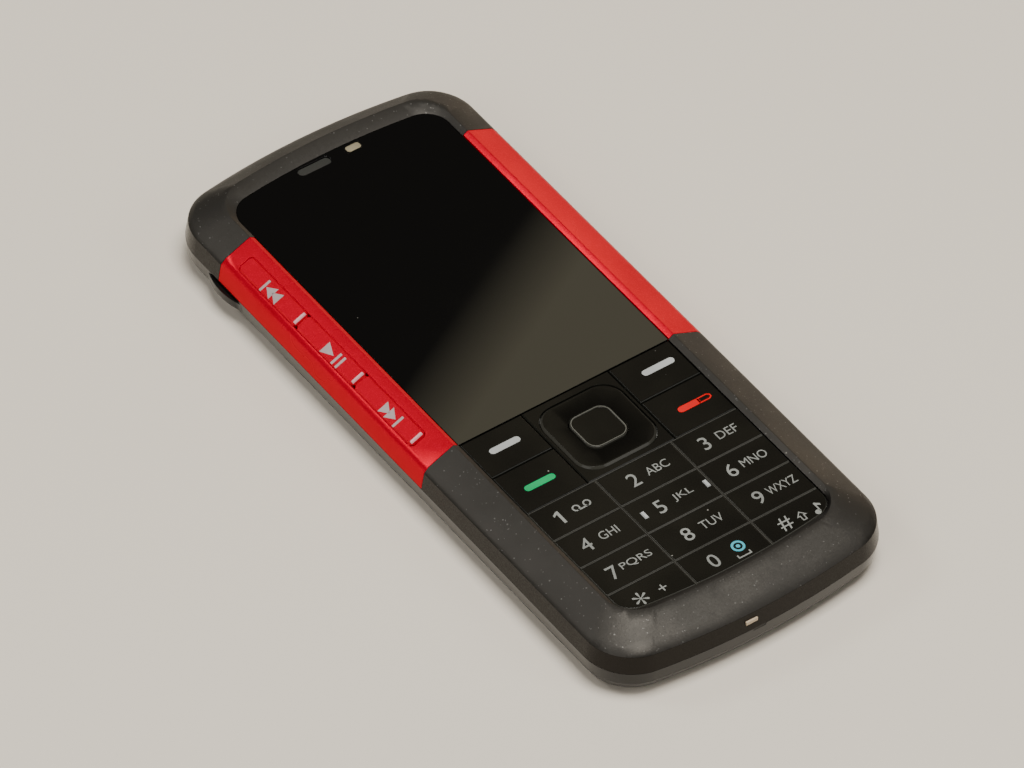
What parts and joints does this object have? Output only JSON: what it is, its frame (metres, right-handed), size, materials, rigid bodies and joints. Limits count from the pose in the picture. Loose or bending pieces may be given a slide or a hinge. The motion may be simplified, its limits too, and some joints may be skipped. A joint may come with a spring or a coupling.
{
  "type": "candybar phone",
  "caption": "Slim candybar phone with a faceted frame, display window, full keypad with four-way key, side music keys and a sliding battery cover.",
  "frame": {"origin": "middle of the flat back, on the surface the phone lies on", "axes": "+Z out of the display, +Y along the phone towards the earpiece, +X to the right of the display"},
  "size_m": [0.0465, 0.1046, 0.0099],
  "materials": {
    "graphite_paint": "metallic graphite paint with fine flake",
    "black_gloss_shell": "black gloss moulded plastic",
    "black_satin_cover": "black satin moulded plastic",
    "window_glass": "black-backed clear acrylic, hard coated",
    "red_lacquer": "red metallic lacquer",
    "dark_mesh": "fine woven dust mesh",
    "sensor_lens": "pale translucent light guide",
    "bezel_metal": "dark chromed ring",
    "lens_glass": "coated lens cover",
    "module_black": "black engineering plastic",
    "key_gloss": "black gloss key caps",
    "silicone": "translucent silicone",
    "dome_metal": "snap domes on a film",
    "board_green": "solder-masked circuit board",
    "display_panel": "switched-off display panel",
    "speaker_metal": "stamped capsule",
    "shield_metal": "tinned sheet",
    "weight_metal": "sintered weight",
    "battery_wrap": "plain battery wrap",
    "sim_plastic": "plain card",
    "card_plastic": "plain memory card",
    "socket_metal": "plated socket",
    "socket_plastic": "black socket plastic",
    "screw_steel": "blackened steel"
  },
  "bodies": {
    "phone": {"front_cover": "graphite_paint", "display_window": "window_glass", "earpiece_grille": "dark_mesh", "light_sensor": "sensor_lens", "left_trim": "red_lacquer", "right_trim": "red_lacquer", "mid_frame": "black_gloss_shell", "rear_housing": "black_gloss_shell", "camera_bezel": "bezel_metal", "camera_window": "lens_glass", "camera_module": "module_black", "nav_bezel": "key_gloss", "keymat": "silicone", "dome_sheet": "dome_metal", "main_board": "board_green", "display_module": "display_panel", "earpiece": "speaker_metal", "shield_cans": "shield_metal", "loudspeaker": "module_black", "loudspeaker_mesh": "dark_mesh", "vibra_motor": "shield_metal", "microphone": "shield_metal", "antenna": "module_black", "battery": "battery_wrap", "battery_connector": "module_black", "sim_holder": "shield_metal", "sim_card": "sim_plastic", "memory_card_holder": "shield_metal", "memory_card": "card_plastic", "charger_jack": "socket_metal", "audio_jack": "socket_plastic", "usb_port": "socket_metal", "side_switches": "board_green", "screws": "screw_steel"},
    "battery_cover": {"battery_cover": "black_satin_cover"},
    "vibra_weight": {"vibra_weight": "weight_metal"},
    "nav_pad": {"nav_pad": "silicone"},
    "nav_ring": {"nav_ring": "key_gloss"},
    "select_key": {"select_key": "key_gloss"},
    "power_key": {"power_key": "key_gloss"},
    "volume_rocker": {"volume_rocker": "key_gloss"},
    "key_1": {"key_1": "key_gloss"},
    "key_2": {"key_2": "key_gloss"},
    "key_3": {"key_3": "key_gloss"},
    "key_4": {"key_4": "key_gloss"},
    "key_5": {"key_5": "key_gloss"},
    "key_6": {"key_6": "key_gloss"},
    "key_7": {"key_7": "key_gloss"},
    "key_8": {"key_8": "key_gloss"},
    "key_9": {"key_9": "key_gloss"},
    "key_star": {"key_star": "key_gloss"},
    "key_0": {"key_0": "key_gloss"},
    "key_hash": {"key_hash": "key_gloss"},
    "soft_key_left": {"soft_key_left": "key_gloss"},
    "soft_key_right": {"soft_key_right": "key_gloss"},
    "call_key": {"call_key": "key_gloss"},
    "end_key": {"end_key": "key_gloss"},
    "music_key_next": {"music_key_next": "red_lacquer"},
    "music_key_play": {"music_key_play": "red_lacquer"},
    "music_key_previous": {"music_key_previous": "red_lacquer"}
  },
  "joints": [
    {"name": "key_1_press", "type": "slide", "parent": "phone", "child": "key_1", "axis": [0, 0, -1], "range_m": [0, 0.0003], "stiffness_N_per_m": 2000},
    {"name": "key_2_press", "type": "slide", "parent": "phone", "child": "key_2", "axis": [0, 0, -1], "range_m": [0, 0.0003], "stiffness_N_per_m": 2000},
    {"name": "key_3_press", "type": "slide", "parent": "phone", "child": "key_3", "axis": [0, 0, -1], "range_m": [0, 0.0003], "stiffness_N_per_m": 2000},
    {"name": "key_4_press", "type": "slide", "parent": "phone", "child": "key_4", "axis": [0, 0, -1], "range_m": [0, 0.0003], "stiffness_N_per_m": 2000},
    {"name": "key_5_press", "type": "slide", "parent": "phone", "child": "key_5", "axis": [0, 0, -1], "range_m": [0, 0.0003], "stiffness_N_per_m": 2000},
    {"name": "key_6_press", "type": "slide", "parent": "phone", "child": "key_6", "axis": [0, 0, -1], "range_m": [0, 0.0003], "stiffness_N_per_m": 2000},
    {"name": "key_7_press", "type": "slide", "parent": "phone", "child": "key_7", "axis": [0, 0, -1], "range_m": [0, 0.0003], "stiffness_N_per_m": 2000},
    {"name": "key_8_press", "type": "slide", "parent": "phone", "child": "key_8", "axis": [0, 0, -1], "range_m": [0, 0.0003], "stiffness_N_per_m": 2000},
    {"name": "key_9_press", "type": "slide", "parent": "phone", "child": "key_9", "axis": [0, 0, -1], "range_m": [0, 0.0003], "stiffness_N_per_m": 2000},
    {"name": "key_star_press", "type": "slide", "parent": "phone", "child": "key_star", "axis": [0, 0, -1], "range_m": [0, 0.0003], "stiffness_N_per_m": 2000},
    {"name": "key_0_press", "type": "slide", "parent": "phone", "child": "key_0", "axis": [0, 0, -1], "range_m": [0, 0.0003], "stiffness_N_per_m": 2000},
    {"name": "key_hash_press", "type": "slide", "parent": "phone", "child": "key_hash", "axis": [0, 0, -1], "range_m": [0, 0.0003], "stiffness_N_per_m": 2000},
    {"name": "soft_key_left_press", "type": "slide", "parent": "phone", "child": "soft_key_left", "axis": [0, 0, -1], "range_m": [0, 0.0003], "stiffness_N_per_m": 2000},
    {"name": "soft_key_right_press", "type": "slide", "parent": "phone", "child": "soft_key_right", "axis": [0, 0, -1], "range_m": [0, 0.0003], "stiffness_N_per_m": 2000},
    {"name": "call_key_press", "type": "slide", "parent": "phone", "child": "call_key", "axis": [0, 0, -1], "range_m": [0, 0.0003], "stiffness_N_per_m": 2000},
    {"name": "end_key_press", "type": "slide", "parent": "phone", "child": "end_key", "axis": [0, 0, -1], "range_m": [0, 0.0003], "stiffness_N_per_m": 2000},
    {"name": "select_key_press", "type": "slide", "parent": "phone", "child": "select_key", "axis": [0, 0, -1], "range_m": [0, 0.0003], "stiffness_N_per_m": 2000},
    {"name": "music_key_next_press", "type": "slide", "parent": "phone", "child": "music_key_next", "axis": [0.4197, 0, -0.9077], "range_m": [0, 0.00025], "stiffness_N_per_m": 2000},
    {"name": "music_key_play_press", "type": "slide", "parent": "phone", "child": "music_key_play", "axis": [0.4197, 0, -0.9077], "range_m": [0, 0.00025], "stiffness_N_per_m": 2000},
    {"name": "music_key_previous_press", "type": "slide", "parent": "phone", "child": "music_key_previous", "axis": [0.4197, 0, -0.9077], "range_m": [0, 0.00025], "stiffness_N_per_m": 2000},
    {"name": "power_key_press", "type": "slide", "parent": "phone", "child": "power_key", "axis": [0, -1, 0], "range_m": [0, 0.00025], "stiffness_N_per_m": 2000},
    {"name": "volume_rock", "type": "hinge", "parent": "phone", "child": "volume_rocker", "pos_m": [0.022, 0.021, 0.0049], "axis": [0, 0, 1], "range_deg": [-2, 2], "stiffness_Nm_per_rad": 0.34},
    {"name": "nav_tilt_up_down", "type": "hinge", "parent": "phone", "child": "nav_pad", "pos_m": [0, -0.0156, 0.0083], "axis": [1, 0, 0], "range_deg": [-1.5, 1.5], "stiffness_Nm_per_rad": 0.3},
    {"name": "nav_tilt_left_right", "type": "hinge", "parent": "nav_pad", "child": "nav_ring", "pos_m": [0, -0.0156, 0.0083], "axis": [0, 1, 0], "range_deg": [-1.5, 1.5], "stiffness_Nm_per_rad": 0.3},
    {"name": "battery_cover_slide", "type": "slide", "parent": "phone", "child": "battery_cover", "axis": [0, -1, 0], "range_m": [0, 0.06]},
    {"name": "vibra_spin", "type": "hinge", "parent": "phone", "child": "vibra_weight", "pos_m": [0.0045, -0.0483, 0.00335], "axis": [1, 0, 0], "continuous": true}
  ]
}
